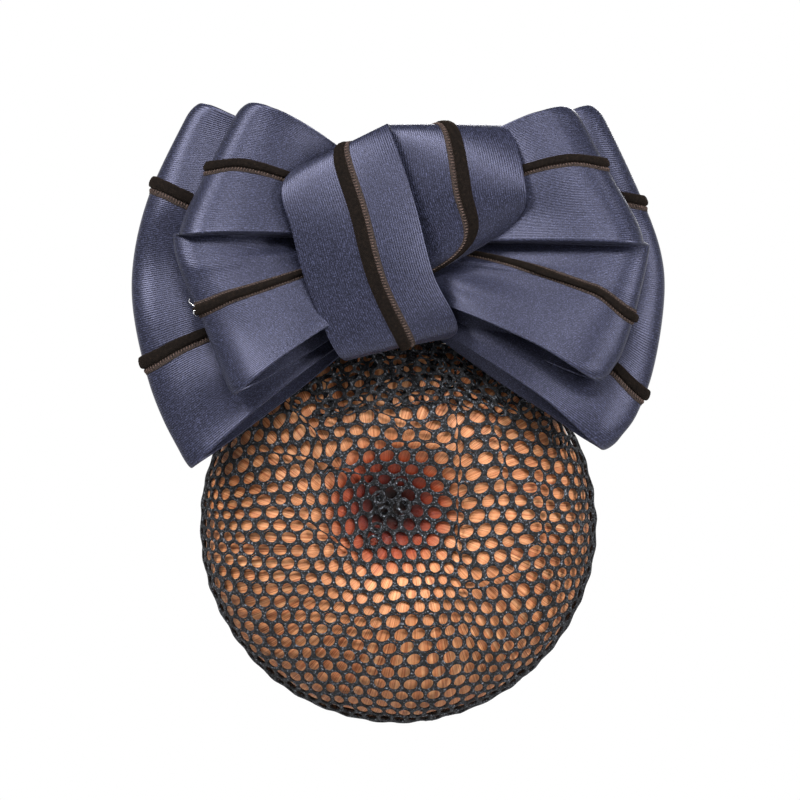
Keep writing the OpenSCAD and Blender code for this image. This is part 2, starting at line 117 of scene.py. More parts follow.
# ---------------------------------------------------------------- general functions
def cubic(a, b, c, d, k):
    k = k[..., None]
    return 0.5 * (2 * b + (c - a) * k + (2 * a - 5 * b + 4 * c - d) * k * k
                  + (3 * b - a - 3 * c + d) * k * k * k)


def open_spline(points, k):
    p = np.array(points, float)
    n = len(p) - 1
    q = np.vstack([2 * p[0] - p[1], p, 2 * p[n] - p[n - 1]])
    u = np.clip(k, 0, 1) * n
    i = np.minimum(np.floor(u).astype(int), n - 1)
    return cubic(q[i], q[i + 1], q[i + 2], q[i + 3], u - i)


def closed_spline(points, k):
    p = np.array(points, float)
    n = len(p)
    u = (k % 1) * n
    i = np.floor(u).astype(int) % n
    return cubic(p[(i - 1) % n], p[i], p[(i + 1) % n], p[(i + 2) % n], u - np.floor(u))


def lerp(a, b, k):
    return a + (b - a) * k


def ease(k):
    k = np.clip(k, 0, 1)
    return k * k * (3 - 2 * k)


def bump(x, mid, width):
    return np.exp(-((x - mid) / width) ** 2)


def unit(v):
    return v / np.maximum(np.linalg.norm(v, axis=-1, keepdims=True), 1e-9)


def run_lengths(line):
    """The length of a row of points up to each of them."""
    step = np.linalg.norm(np.diff(line, axis=0), axis=-1)
    return np.concatenate([[0], np.cumsum(step)])


def grid_normals(p, ring):
    across = np.gradient(p, axis=1)
    if ring:
        along = np.roll(p, -1, 0) - np.roll(p, 1, 0)
    else:
        along = np.gradient(p, axis=0)
    return unit(np.cross(across, along))


WAVES = 5


def wavy(x, y, seed, scale=1.0):
    """A smooth random height between about -1 and 1."""
    r = np.random.default_rng(seed)
    total = 0
    for _ in range(WAVES):
        a, b = r.normal(0, scale, 2)
        total = total + np.sin(a * x + b * y + r.uniform(0, 6.28))
    return total / math.sqrt(WAVES)


# ---------------------------------------------------------------- meshes
def new_object(name, verts, faces, mat, uv=None):
    """A smooth mesh from points in mm, with one material and UV places in mm."""
    mesh = bpy.data.meshes.new(name)
    mesh.from_pydata((np.asarray(verts) * MM).tolist(), [], [tuple(f) for f in faces])
    mesh.update()
    if uv is not None:
        layer = mesh.uv_layers.new(name="UVMap")
        index = np.zeros(len(mesh.loops), np.int32)
        mesh.loops.foreach_get("vertex_index", index)
        layer.data.foreach_set("uv", np.asarray(uv, np.float32)[index].ravel())
    mesh.polygons.foreach_set("use_smooth", [True] * len(mesh.polygons))
    mesh.materials.append(mat)
    obj = bpy.data.objects.new(name, mesh)
    bpy.context.scene.collection.objects.link(obj)
    return obj


def grid_faces(rows, cols, ring, base=0, flip=False):
    i = np.arange(rows if ring else rows - 1)
    j = np.arange(cols - 1)
    i, j = np.meshgrid(i, j, indexing="ij")
    a = (i * cols + j).ravel() + base
    b = (((i + 1) % rows) * cols + j).ravel() + base
    faces = np.stack([a, b, b + 1, a + 1], 1)
    return faces[:, ::-1] if flip else faces


def shell(name, outside, inside, ring, mat, uv):
    """A closed sheet between two grids of points."""
    rows, cols = outside.shape[:2]
    count = rows * cols
    faces = [grid_faces(rows, cols, ring), grid_faces(rows, cols, ring, count, True)]
    i = np.arange(rows if ring else rows - 1)
    k = (i + 1) % rows
    for j, flip in ((0, False), (cols - 1, True)):
        side = np.stack([i * cols + j, i * cols + j + count, k * cols + j + count, k * cols + j], 1)
        faces.append(side[:, ::-1] if flip else side)
    if not ring:
        j = np.arange(cols - 1)
        for row, flip in ((0, True), (rows - 1, False)):
            a = row * cols + j
            end = np.stack([a, a + count, a + count + 1, a + 1], 1)
            faces.append(end[:, ::-1] if flip else end)
    verts = np.concatenate([outside.reshape(-1, 3), inside.reshape(-1, 3)])
    uv = np.concatenate([uv.reshape(-1, 2), uv.reshape(-1, 2) + [0, 40]])
    return new_object(name, verts, np.concatenate(faces), mat, uv)


# ---------------------------------------------------------------- materials
def material(name):
    m = bpy.data.materials.new(name)
    m.use_nodes = True
    return m, m.node_tree, m.node_tree.nodes["Principled BSDF"]


def srgb(r, g, b):
    def line(c):
        c /= 255
        return c / 12.92 if c <= 0.04045 else ((c + 0.055) / 1.055) ** 2.4
    return (line(r), line(g), line(b), 1)


def add(tree, kind, **values):
    node = tree.nodes.new(kind)
    for key, value in values.items():
        if hasattr(node, key):
            setattr(node, key, value)
        else:
            node.inputs[key.replace("_", " ")].default_value = value
    return node


def paint(surface, **values):
    """Sets constants on the surface shader, by the sockets' names."""
    for key, value in values.items():
        surface.inputs[key.replace("_", " ")].default_value = value


IN_MM = (1000, 1000, 1000)


def coordinates(tree, kind, scale):
    source = add(tree, "ShaderNodeTexCoord")
    place = add(tree, "ShaderNodeMapping")
    place.inputs["Scale"].default_value = scale
    tree.links.new(source.outputs[kind], place.inputs["Vector"])
    return place.outputs["Vector"]


def noise(tree, vector, scale, detail=2.0, roughness=0.5):
    node = add(tree, "ShaderNodeTexNoise", Scale=scale, Detail=detail, Roughness=roughness)
    tree.links.new(vector, node.inputs["Vector"])
    return node.outputs["Fac"]


def ramp(tree, fac, stops):
    node = add(tree, "ShaderNodeValToRGB")
    colours = node.color_ramp.elements
    while len(colours) < len(stops):
        colours.new(0.5)
    for element, (place, colour) in zip(colours, stops):
        element.position = place
        element.color = colour
    tree.links.new(fac, node.inputs["Fac"])
    return node.outputs["Color"]


def mix_values(tree, a, b, share):
    node = add(tree, "ShaderNodeMix", data_type="FLOAT")
    node.inputs[0].default_value = share
    tree.links.new(a, node.inputs[2])
    tree.links.new(b, node.inputs[3])
    return node.outputs[0]


def bump_normal(tree, height, strength, distance, surface):
    node = add(tree, "ShaderNodeBump", Strength=strength, Distance=distance * MM)
    tree.links.new(height, node.inputs["Height"])
    tree.links.new(node.outputs["Normal"], surface.inputs["Normal"])


def satin_material():
    """Ribbed satin: the rib and the threads run along the ribbon's own lengths."""
    m, tree, surface = material("satin_ribbon")
    ribs = add(tree, "ShaderNodeTexWave", bands_direction="Y", Scale=0.6, Distortion=1.2, Detail=1.0)
    tree.links.new(coordinates(tree, "UV", (0.04, 1, 1)), ribs.inputs["Vector"])
    threads = noise(tree, coordinates(tree, "UV", (0.6, 3.2, 1)), 1.6, 3.0, 0.6)
    grain = noise(tree, coordinates(tree, "Object", IN_MM), 3.6, 2.0, 0.6)
    weave = mix_values(tree, threads, ribs.outputs["Fac"], 0.16)
    colour = ramp(tree, mix_values(tree, weave, grain, 0.55), [
        (0.32, srgb(9, 9, 13)), (0.50, srgb(25, 26, 37)), (0.68, srgb(68, 71, 96))])
    tree.links.new(colour, surface.inputs["Base Color"])
    bump_normal(tree, mix_values(tree, ribs.outputs["Fac"], threads, 0.35), 0.4, 0.12, surface)
    paint(surface, Roughness=0.38, Specular_IOR_Level=0.42, Specular_Tint=srgb(214, 216, 255),
          Sheen_Weight=0.09, Sheen_Roughness=0.4, Sheen_Tint=srgb(180, 182, 205))
    return m


def velvet_material():
    m, tree, surface = material("velvet_ribbon")
    at = coordinates(tree, "Object", IN_MM)
    colour = ramp(tree, noise(tree, at, 1.3, 4.0, 0.7), [
        (0.35, srgb(9, 6, 5)), (0.6, srgb(19, 14, 11)), (0.8, srgb(38, 28, 22))])
    tree.links.new(colour, surface.inputs["Base Color"])
    bump_normal(tree, noise(tree, at, 3.5, 3.0, 0.7), 0.8, 0.3, surface)
    paint(surface, Roughness=0.95, Specular_IOR_Level=0.1, Sheen_Weight=0.12, Sheen_Roughness=0.5,
          Sheen_Tint=srgb(120, 95, 75))
    return m


def fibre_material(name, dark, light, rough=0.85, scale=3.0, relief=0.15):
    m, tree, surface = material(name)
    at = coordinates(tree, "Object", IN_MM)
    grain = noise(tree, at, scale, 3.0, 0.65)
    tree.links.new(ramp(tree, grain, [(0.35, dark), (0.55, light)]), surface.inputs["Base Color"])
    bump_normal(tree, grain, 0.7, relief, surface)
    paint(surface, Roughness=rough, Specular_IOR_Level=0.25)
    return m


def yarn_material(name, lift):
    """Dark yarn with pale fibres; lift moves the share of pale ones."""
    m, tree, surface = material(name)
    at = coordinates(tree, "Object", IN_MM)
    fine = noise(tree, at, 1.9, 3.0, 0.75)
    colour = ramp(tree, fine, [
        (0.43 - lift, srgb(7, 7, 8)), (0.53 - lift, srgb(22, 22, 25)), (0.60 - lift, srgb(58, 61, 68)),
        (0.70 - lift, srgb(150, 155, 165))])
    tree.links.new(colour, surface.inputs["Base Color"])
    bump_normal(tree, fine, 1.0, 0.35, surface)
    paint(surface, Roughness=0.8, Specular_IOR_Level=0.3)
    return m


def hair_material():
    """Strands and locks that run with the winding, with painted shade in the dimple."""
    m, tree, surface = material("bun_hair")
    strand = noise(tree, coordinates(tree, "UV", (0.03, 3.4, 1)), 1.0, 4.0, 0.8)
    lock = noise(tree, coordinates(tree, "UV", (0.03, 0.9, 1)), 1.0, 2.0, 0.5)
    colour = ramp(tree, mix_values(tree, strand, lock, 0.3), [
        (0.34, srgb(106, 46, 28)), (0.44, srgb(178, 100, 58)), (0.52, srgb(220, 148, 98)),
        (0.66, srgb(250, 198, 148))])
    # painted shade: the hair is darker and redder in the dimple's hollow, by its distance from a place in mm
    # (forward at a lower scale)
    hollow = add(tree, "ShaderNodeVectorMath", operation="DISTANCE")
    tree.links.new(coordinates(tree, "Object", (1000, 600, 1000)), hollow.inputs[0])
    hollow.inputs[1].default_value = (-2, -7.2, -59)
    deep = add(tree, "ShaderNodeMapRange", From_Min=3, From_Max=19)
    tree.links.new(hollow.outputs["Value"], deep.inputs["Value"])
    # the painted shade, from near black in the middle of the dimple to no change further out
    shade = ramp(tree, deep.outputs["Result"], [
        (0.0, srgb(26, 10, 10)), (0.3, srgb(120, 52, 44)), (0.6, srgb(190, 128, 110)), (1.0, (1, 1, 1, 1))])
    hair_with_painted_shade = add(tree, "ShaderNodeMix", data_type="RGBA", blend_type="MULTIPLY")
    hair_with_painted_shade.inputs[0].default_value = 1.0
    tree.links.new(colour, hair_with_painted_shade.inputs[6])
    tree.links.new(shade, hair_with_painted_shade.inputs[7])
    tree.links.new(hair_with_painted_shade.outputs[2], surface.inputs["Base Color"])
    bump_normal(tree, strand, 0.6, 0.35, surface)
    paint(surface, Roughness=0.42, Specular_IOR_Level=0.45)
    return m


WAVE_AT_1 = 0.314       # scale of the wave texture that repeats once per unit


def woven_material(name, dark, light, pitch):
    m, tree, surface = material(name)
    at = coordinates(tree, "Object", IN_MM)
    scale = WAVE_AT_1 / pitch
    warp = add(tree, "ShaderNodeTexWave", bands_direction="X", Scale=scale)
    weft = add(tree, "ShaderNodeTexWave", bands_direction="Z", Scale=scale)
    for wave in (warp, weft):
        tree.links.new(at, wave.inputs["Vector"])
    weave = mix_values(tree, warp.outputs["Fac"], weft.outputs["Fac"], 0.5)
    tree.links.new(ramp(tree, weave, [(0.2, dark), (0.8, light)]), surface.inputs["Base Color"])
    bump_normal(tree, weave, 0.7, 0.2, surface)
    paint(surface, Roughness=0.8)
    return m


def metal_material(name, colour, rough):
    m, tree, surface = material(name)
    streak = noise(tree, coordinates(tree, "Object", (60, 1500, 1500)), 1.0, 4.0, 0.6)
    grain = noise(tree, coordinates(tree, "Object", IN_MM), 0.4, 2.0, 0.5)
    shade = [c * 0.72 for c in colour[:3]] + [1]
    tree.links.new(ramp(tree, mix_values(tree, streak, grain, 0.5), [(0.3, shade), (0.7, colour)]),
                   surface.inputs["Base Color"])
    bump_normal(tree, streak, 0.15, 0.03, surface)
    paint(surface, Metallic=1.0, Roughness=rough)
    return m


SATIN = satin_material()
VELVET = velvet_material()
SELVEDGE = fibre_material("velvet_selvedge", srgb(20, 16, 15), srgb(84, 68, 62), scale=2.0)
THREAD = fibre_material("sewing_thread", srgb(20, 15, 14), srgb(52, 42, 38))
FELT = fibre_material("felt_pad", srgb(40, 42, 58), srgb(70, 73, 98), 0.95, 1.6, 0.3)
TAPE = woven_material("woven_tape", srgb(12, 12, 14), srgb(40, 40, 46), 0.7)
YARN = yarn_material("net_yarn", 0)
LOOSE_YARN = yarn_material("net_yarn_loose", 0.01)
ELASTIC = woven_material("elastic_cord", srgb(16, 16, 18), srgb(52, 52, 58), 0.5)
HAIR = hair_material()
SPONGE = fibre_material("bun_sponge", srgb(74, 40, 26), srgb(132, 84, 56), 0.9, 1.1, 0.6)
NICKEL = metal_material("nickel_plate", srgb(206, 205, 202), 0.26)
SPRING = metal_material("spring_steel", srgb(178, 180, 184), 0.34)
GLINT = metal_material("thread_glint", srgb(230, 230, 232), 0.2)


# ---------------------------------------------------------------- the folded ribbon bands
def band_points(band, v, r):
    """Points of the band's middle surface, with the style of the folds, for arrays v and r."""
    q = r % 1
    right = q < 0.5
    side = np.where(right, 1.0, -1.0)
    k = np.where(right, 2 * q, 2 - 2 * q)
    share = (v + 1) / 2
    tip = np.where(right[..., None], open_spline(band["right"], share), open_spline(band["left"], share))
    tip_x = tip[..., 0] * band["half"]
    tip_y = -band["y"] - tip[..., 2]
    tip_z = bow_mid_z + tip[..., 1] * bow_h / 2
    root_y = -band["y"]
    root_z = band["z"] + v * band["pinch"] / 2
    reach = np.hypot(tip_x, tip_z - root_z)
    run = reach - fold_long
    on_fold = (k > flat_share) & (k < 1 - flat_share)
    s = np.minimum(k, 1 - k) / flat_share
    turn = np.radians(lerp(-90, 90, (k - flat_share) / (1 - 2 * flat_share)))
    front = np.where(on_fold, np.sin(turn), np.where(k < 0.5, -1.0, 1.0))
    along = np.where(on_fold, (run + fold_long * np.cos(turn)) / reach, s * run / reach)
    gap = pinch_gap + (fold_r - pinch_gap) * ease(s) + loop_puff * np.sin(np.pi * np.clip(s, 0, 1))
    off = np.where(on_fold, fold_r * np.sin(turn), front * gap)
    depth = lerp(root_y, tip_y, np.sin(np.pi / 2 * along))
    opening = (np.sqrt(along ** 2 + waist ** 2) - waist) / (math.sqrt(1 + waist ** 2) - waist)
    x = along * tip_x
    y = depth - off
    z = lerp(root_z, tip_z, opening)
    push, rise, reach_out = band_style(band["name"], side, v, along, front)
    return np.stack([x + side * reach_out, y - push, z + rise], -1)


GATHER_H = 1.3          # gathers beside the knot
SWELL_H = 0.85
LEAN_BACK = 2.2         # of the upper edges
LIP_H = 2.6             # the upper lip of the inner loops' pleat
WALL_DEEP = 4.2         # and the shaded wall under it
RIDGE_H = 2.4


def band_style(name, side, v, along, front):
    """How the cloth departs from the plain loop: forward push, rise and reach sideways, in mm.

    side is 1 on the right, v runs from -1 below to 1 above, along from 0 at the pinch to 1 at the
    fold, and front is 1 on the front layer and -1 on the back one.
    """
    def by_side(left, right):
        return np.where(side < 0, left, right)

    seed = 3 if name == "outer" else 8
    # gathers beside the knot, and a soft swell further out
    near = np.exp(-along / 0.3)
    gathers = GATHER_H * near * np.sin(11 * v + 1.3 * side + seed) * ease(along / 0.06)
    swell = SWELL_H * wavy(2.4 * v, 2.5 * along + 2 * side, seed, 1.4) * ease(along / 0.3)
    push = gathers + swell
    mid = np.sin(np.pi * np.clip(along, 0, 1))
    late = np.sin(np.pi * np.clip(along, 0, 1) ** 2.0)
    tip = ease((along - 0.82) / 0.18)
    # lower edges: the two layers part, so that the loop's mouth shows
    low = np.clip((1 - v) / 2, 0, 1) ** 3
    rise = np.where(front > 0, 1.2, -2.2) * front ** 2 * mid * low
    push = push + 1.2 * front * mid * low
    # upper edges: arched towards the fold and pressed back
    high = ease((v + 0.1) / 0.7)
    edge = ease((v - 0.55) / 0.45)
    arch = -1.0 if name == "outer" else 1.8
    rise = rise + high * (2.3 * late - 1.2 * tip * (1 - edge)) + edge * (arch * mid + 0.8 * tip)
    push = push - LEAN_BACK * edge * ease(along / 0.3)
    droop = by_side(1.0, 3.0)
    rise = rise - droop * tip * ease(-(v + 0.1) / 0.4) * ease((v + 1) / 0.3)
    # rounded corners of the folds
    corner_r = np.where(v > 0, 2.2, by_side(1.0, 2.6))
    corner = np.clip((np.abs(v) - 0.92) / 0.08, 0, 1)
    reach_out = -corner_r * (1 - np.sqrt(1 - 0.995 * corner ** 2)) * ease((along - 0.65) / 0.35)
    if name == "inner":
        # a pleat along the front layer: its upper lip stands forward over a shaded wall
        pleat = by_side(0.12, 0.03)
        above = np.clip(v - pleat, 0, 2)
        below = np.clip(pleat - v, 0, 2)
        is_front = ease(front * 0.5 + 0.5)
        wall = lerp(by_side(0.13, 0.09), by_side(0.02, 0.045), np.clip(along, 0, 1))
        fallen = ease(below / wall)
        upper = np.where(v >= pleat, np.exp(-above / 0.3), 1 - fallen)
        lower = fallen * np.exp(-np.clip(below - wall, 0, 2) / 0.2)
        deep = by_side(1.25 - 0.9 * along, 1.15 - 0.6 * along) * ease(along / 0.15)
        push = push + is_front * LIP_H * upper * ease(along / 0.2)
        push = push - lerp(1.2, WALL_DEEP, is_front) * lower * deep
        lip = np.where(v >= pleat, np.exp(-above / 0.05), 1 - fallen)
        rise = rise - is_front * 0.8 * lip * ease(along / 0.2)
        reach_out = reach_out + 1.4 * lower * ease((along - 0.7) / 0.3)
        # and a ridge below it that fades away from the knot
        ridge = bump(v, by_side(-0.14, -0.32), 0.06)
        push = push + is_front * RIDGE_H * ridge * np.exp(-along / 0.5)
    return push, rise, reach_out


def stepped(low, high, count, extra=()):
    """Even places from low to high, with a few more close to the ends and the extra places."""
    edge = 0.006
    plain = np.linspace(low + edge, high - edge, count)
    places = [low, low + edge / 3, *plain, high - edge / 3, high]
    places += [low + 0.012, low + 0.02, high - 0.012, high - 0.02]
    for mid in extra:
        places += [mid - 0.008, mid - 0.003, mid, mid + 0.003, mid + 0.008]
    return np.array(sorted(places))


def ring_places(count):
    """Places round the ring, closer together round the folds."""
    u = np.arange(count) / count
    crowding = 0.6
    return u - 0.55 / (8 * np.pi) * np.sin(8 * np.pi * (u - 0.125) + np.pi) * crowding


def ribbon_uv(p, v, half_width):
    length = run_lengths(p[:, p.shape[1] // 2])
    u = np.repeat(length[:, None], p.shape[1], 1)
    w = np.broadcast_to(v * half_width, u.shape)
    return np.stack([u, w], -1)


def thick_shell(name, p, ring, thickness, mat, uv):
    normals = grid_normals(p, ring)
    half = np.full(p.shape[1], thickness / 2)
    half[[0, -1]] *= 0.35
    half[[1, -2]] *= 0.8
    half = half[None, :, None]
    return shell(name, p + normals * half, p - normals * half, ring, mat, uv)


BAND_ROWS = 440
BAND_COLS = 110


def make_band(band, extra=()):
    """A satin ring folded into two loops, and its flat width and length."""
    v = stepped(-1, 1, BAND_COLS, extra)
    r = ring_places(BAND_ROWS)
    rr, vv = np.meshgrid(r, v, indexing="ij")
    p = band_points(band, vv, rr)
    uv = ribbon_uv(p, v, bow_h / 2)
    obj = thick_shell(band["name"] + "_band_cloth", p, True, cloth_t, SATIN, uv)
    length = run_lengths(p[:, p.shape[1] // 2])[-1]
    at_fold = p[BAND_ROWS // 4]
    width = np.linalg.norm(np.diff(at_fold, axis=0), axis=1).sum()
    return obj, (width, length)


pile_edge = 0.38        # where the pile ends beside one selvedge, as a share of the half width
narrow_edge = 0.62      # and between two selvedges
ground_t = 0.12
PILE_COLS = 15
PILE_FUZZ = 0.035
STITCH_STEP = 0.72


def pile_profile(c):
    """Height of the velvet's pile across its width, c from -1 to 1."""
    return np.sqrt(np.clip(1 - np.abs(c) ** 3.2, 0, 1))


def make_stripe(name, surface, rows, ring, height, selvedges):
    """A strip of velvet on a surface. surface(c) gives rows of points for places c across it."""
    # the pile leaves a strip of plain tape beside it where the selvedge shows
    edge_share = pile_edge if len(selvedges) == 1 else narrow_edge
    low = -edge_share if -1 in selvedges else -1
    high = edge_share if 1 in selvedges else 1
    across = np.linspace(-1, 1, PILE_COLS)
    c = lerp(low, high, (across + 1) / 2)
    p = surface(c)
    normals = grid_normals(p, ring)
    base = cloth_face
    fuzz = rng.normal(0, PILE_FUZZ, p.shape[:2])
    top = base + ground_t + (height[:, None] * pile_profile(across)[None] + fuzz)
    uv = np.stack(np.meshgrid(np.arange(rows) * 0.8, c * velvet_w / 2, indexing="ij"), -1)
    outside = p + normals * top[..., None]
    inside = p + normals * base
    cloth = shell(name, outside, inside, ring, VELVET, uv)
    rungs = [ladder(name, surface, ring, base + 0.1, edge, edge_share) for edge in selvedges]
    rungs += [tape_strip(name, surface, ring, base, edge, edge_share) for edge in selvedges]
    return cloth, rungs


def beside_pile(surface, ring, edge, places):
    """Points and outward normals at places across the strip, and the name of that edge."""
    p = surface(edge * places)
    return p, grid_normals(p, ring) * edge, "upper" if edge > 0 else "lower"


def tape_strip(name, surface, ring, base, edge, edge_share):
    """The plain ground of the velvet ribbon, which shows beside the pile."""
    p, normals, tag = beside_pile(surface, ring, edge, np.linspace(edge_share * 0.9, 1.05, 5))
    outside = p + normals * (base + ground_t)
    inside = p + normals * base * 0.8
    return shell(name + "_ground_" + tag, outside, inside, ring, THREAD, np.zeros(p.shape[:2] + (2,)))


def ladder(name, surface, ring, base, edge, edge_share):
    """The stitched selvedge beside a velvet strip: a row of short raised stitches."""
    p, normals, tag = beside_pile(surface, ring, edge, np.linspace(edge_share + 0.04, 0.88, 3))
    inner, outer = (p[:, i] + normals[:, 1] * base for i in (0, 2))
    length = run_lengths(p[:, 1])
    verts, faces = [], []

    def at(rows, d):
        return np.array([np.interp(d, length, rows[:, k]) for k in range(3)])

    for d in np.arange(0.3, length[-1] - 0.3, STITCH_STEP):
        a, b = at(inner, d), at(outer, d)
        n = unit(at(normals[:, 1], d))
        t = unit(at(inner, d + 0.2) - at(inner, d - 0.2))
        start = len(verts)
        # each stitch is a low bar with four sides, thickest in the middle
        for share, wide, tall in ((0, 0.16, 0.2), (0.5, 0.24, 0.34), (1, 0.12, 0.08)):
            mid = a + (b - a) * share
            head = mid + n * tall
            verts += [mid - t * wide, head - t * wide * 0.4, head + t * wide * 0.4, mid + t * wide]
        for step in (0, 4):
            for q in range(4):
                faces.append((start + step + q, start + step + (q + 1) % 4,
                              start + step + 4 + (q + 1) % 4, start + step + 4 + q))
        faces.append((start + 3, start + 2, start + 1, start))
        faces.append((start + 8, start + 9, start + 10, start + 11))
    return new_object(name + "_selvedge_" + tag, verts, faces, SELVEDGE)


def band_stripe(band, tag, place, selvedges):
    """A velvet stripe round a band, at its own height on each fold and on each side of the pinch."""
    r = ring_places(BAND_ROWS)
    turn = np.sin(2 * np.pi * r)
    at_pinch = lerp(place[1], place[2], (1 + turn) / 2)
    mid = lerp(at_pinch, np.where(turn < 0, place[0], place[3]), np.abs(turn))
    half = velvet_w / bow_h

    def surface(c):
        rr = np.repeat(r[:, None], len(c), 1)
        vv = mid[:, None] + c[None] * half
        return band_points(band, vv, rr)

    across = surface(np.array([0.0]))[:, 0]
    reach = np.abs(across[:, 0]) / band["half"]
    height = lerp(0.3, 1.0, ease(reach / 0.5))
    name = band["name"] + "_velvet_" + tag + "_pile"
    return make_stripe(name, surface, BAND_ROWS, True, height, selvedges)


outer_cloth, outer_flat = make_band(OUTER)
inner_cloth, inner_flat = make_band(INNER, (0.12, 0.03))
BAND_STRIPES = [  # place at the left fold, on the left of the pinch, on its right, at the right fold
    (OUTER, "upper", (0.56, -0.80, 0.44, 0.44), (-1,)),
    (OUTER, "lower", (-0.40, -0.30, -0.30, -0.60), (-1,)),
    (INNER, "upper", (0.58, 0.49, 0.60, 0.60), (-1,)),
    (INNER, "lower", (-0.40, -0.36, 0.10, -0.46), (-1, 1))]
stripe_pieces = {"outer": [], "inner": []}
for band, tag, place, selvedges in BAND_STRIPES:
    cloth, rungs = band_stripe(band, tag, place, selvedges)
    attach(cloth, "bow")
    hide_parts(band["name"] + "_velvet_" + tag)
    stripe_pieces[band["name"]].append(cloth)
    for piece in rungs:
        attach(piece, "bow")
        stripe_pieces[band["name"]].append(piece)
for cloth, band, flat in ((outer_cloth, "outer", outer_flat), (inner_cloth, "inner", inner_flat)):
    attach(cloth, "bow")
    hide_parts(band + "_band")


def tube(name, line, radius, mat):
    """A thin round thread along a row of points."""
    sides = 8
    ahead = unit(np.gradient(line, axis=0))
    e1 = unit(np.cross(ahead, [0.2, 1.0, 0.1]))
    e2 = np.cross(ahead, e1)
    a = (np.arange(sides + 1) % sides * 2 * np.pi / sides)[None, :, None]
    taper = np.sin(np.linspace(0.12, np.pi - 0.12, len(line)))[:, None, None] ** 0.3
    p = line[:, None] + radius * taper * (e1[:, None] * np.cos(a) + e2[:, None] * np.sin(a))
    return new_object(name, p.reshape(-1, 3), grid_faces(len(line), sides + 1, False), mat)


# a loose end of silvery thread where the lower stripe turns round the left fold
t = np.linspace(0, 1, 24)
at_fold = band_points(INNER, -0.44 + 0.11 * t, 0.752 - 0.012 * t)
away = np.stack([-1.0 - 0.5 * np.sin(3 * np.pi * t), -0.6 - 0.9 * np.sin(2 * np.pi * t), 0 * t], -1)
loose_end = tube("loose_thread_end", at_fold + away, 0.2, GLINT)
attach(loose_end, "bow")


# ---------------------------------------------------------------- the knot
neck_share = 0.45
knot_crown = 2.5
knot_top = 26
knot_bottom = -17.2
# stations: a point on the middle line, the direction across the ribbon, and its width as a share
FRONT_KNOT = [
    ((0, -front_knot_back - 0.5, 22), (1, 0, 0), neck_share),
    ((0, -front_knot_back, 4), (1, 0, 0), neck_share),
    ((0, -front_knot_back, -13), (1, 0, 0), neck_share),
    ((0, -inner_y, knot_bottom), (1, 0, 0), neck_share),
    ((0.5, 4.5 - knot_front, -19.3), (0.97, 0.1, 0.26), 1),
    ((-6.5, 0.5 - knot_front, -4.5), (0.99, 0, 0.12), 1.05),
    ((-11, -knot_front, 12), (0.94, 0, 0.22), 1.05),
    ((-15, 3 - knot_front, 26.6), (0.86, 0.03, 0.46), 1),
    ((-9, -9.3 - inner_y, 28), (1, 0.1, 0.26), 0.58),
    ((-1, 1.5 - inner_y, knot_top), (1, 0, 0.03), neck_share)]
SIDE_KNOT = [
    ((0.5, -3 - thread_front, -5.5), (0.9, 0, 0.35), 0.4),
    ((16.8, 6 - knot_front, 5.2), (0.92, -0.05, 0.36), 0.78),
    ((15.6, 3 - knot_front, 18), (1, -0.12, 0.02), 1.06),
    ((12.6, 6.6 - knot_front, 32.6), (1, 0, 0), 0.98),
    ((7, 15 - knot_front, 32.8), (1, 0, 0), 0.75),
    ((0, 1 - outer_y, knot_top + 2.2), (1, 0, 0), neck_share),
    ((0, -side_knot_back - 0.2, 20), (1, 0, 0), neck_share),
    ((0, -side_knot_back - 0.1, 6), (1, 0, 0), neck_share),
    ((0, -side_knot_back, -8), (1, 0, 0), neck_share)]


def knot_points(stations, ring, s, k):
    """Points of a knot ribbon: s from -1 to 1 across it, k from 0 to 1 along it."""
    spline = closed_spline if ring else open_spline
    mid = spline([st[0] for st in stations], k)
    direction = unit(spline([st[1] for st in stations], k))
    share = spline([(st[2],) for st in stations], k)
    open_share = np.clip((share - neck_share) / 0.5, 0, 1)
    crown = np.concatenate([0 * share, knot_crown * open_share * s[..., None] ** 2, 0 * share], -1)
    ripple = 0.12 * wavy(3 * s, 20 * k, 5, 1.2)[..., None] * open_share
    return mid + direction * s[..., None] * share * knot_w / 2 + crown + [0, 1, 0] * ripple


def make_knot(name, stations, ring, rows, stripe_mid, selvedges):
    k = np.arange(rows) / (rows if ring else rows - 1)
    s = stepped(-1, 1, 48)
    kk, ss = np.meshgrid(k, s, indexing="ij")
    p = knot_points(stations, ring, ss, kk)
    uv = ribbon_uv(p, s, knot_w / 2)
    cloth = thick_shell(name + "_cloth", p, ring, cloth_t, SATIN, uv)
    half = velvet_w / knot_w

    def surface(c):
        kk, cc = np.meshgrid(k, c, indexing="ij")
        return knot_points(stations, ring, stripe_mid + cc * half, kk)

    forward = -surface(np.array([0.0]))[:, 0, 1]
    height = lerp(0.28, 0.75, ease((forward - inner_y) / 8))
    velvet, rungs = make_stripe(name + "_velvet_pile", surface, rows, ring, height, selvedges)
    length = run_lengths(p[:, p.shape[1] // 2])[-1]
    widths = np.linalg.norm(np.diff(p, axis=1), axis=-1).sum(1)
    return cloth, velvet, rungs, (widths.max(), length)


KNOT_ROWS = 260
KNOTS = [("knot_front", FRONT_KNOT, True, 0.1, (1,), "knot_band_front", "knot_velvet_front"),
         ("knot_side", SIDE_KNOT, False, 0.0, (-1,), "knot_band_side", "knot_velvet_side")]
for name, stations, ring, mid, selvedges, band_node, velvet_node in KNOTS:
    cloth, velvet, rungs, flat = make_knot(name, stations, ring, KNOT_ROWS, mid, selvedges)
    for piece, place in [(cloth, "satin"), (velvet, "velvet")] + [(x, "thread") for x in rungs]:
        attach(piece, "bow")
    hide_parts(band_node)
    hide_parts(velvet_node)


# ---------------------------------------------------------------- the net
net_r = (net_high[0] - net_low[0]) / 2
net_z = (net_high[2] + net_low[2]) / 2
net_back = -net_high[1]
dome_front = -net_low[1]
crest_r = 24
shoulder_h = 20
dimple_h = 8
shoulder_y = dome_front - shoulder_h
DIMPLE_STEPS = 24
SHOULDER_STEPS = 40


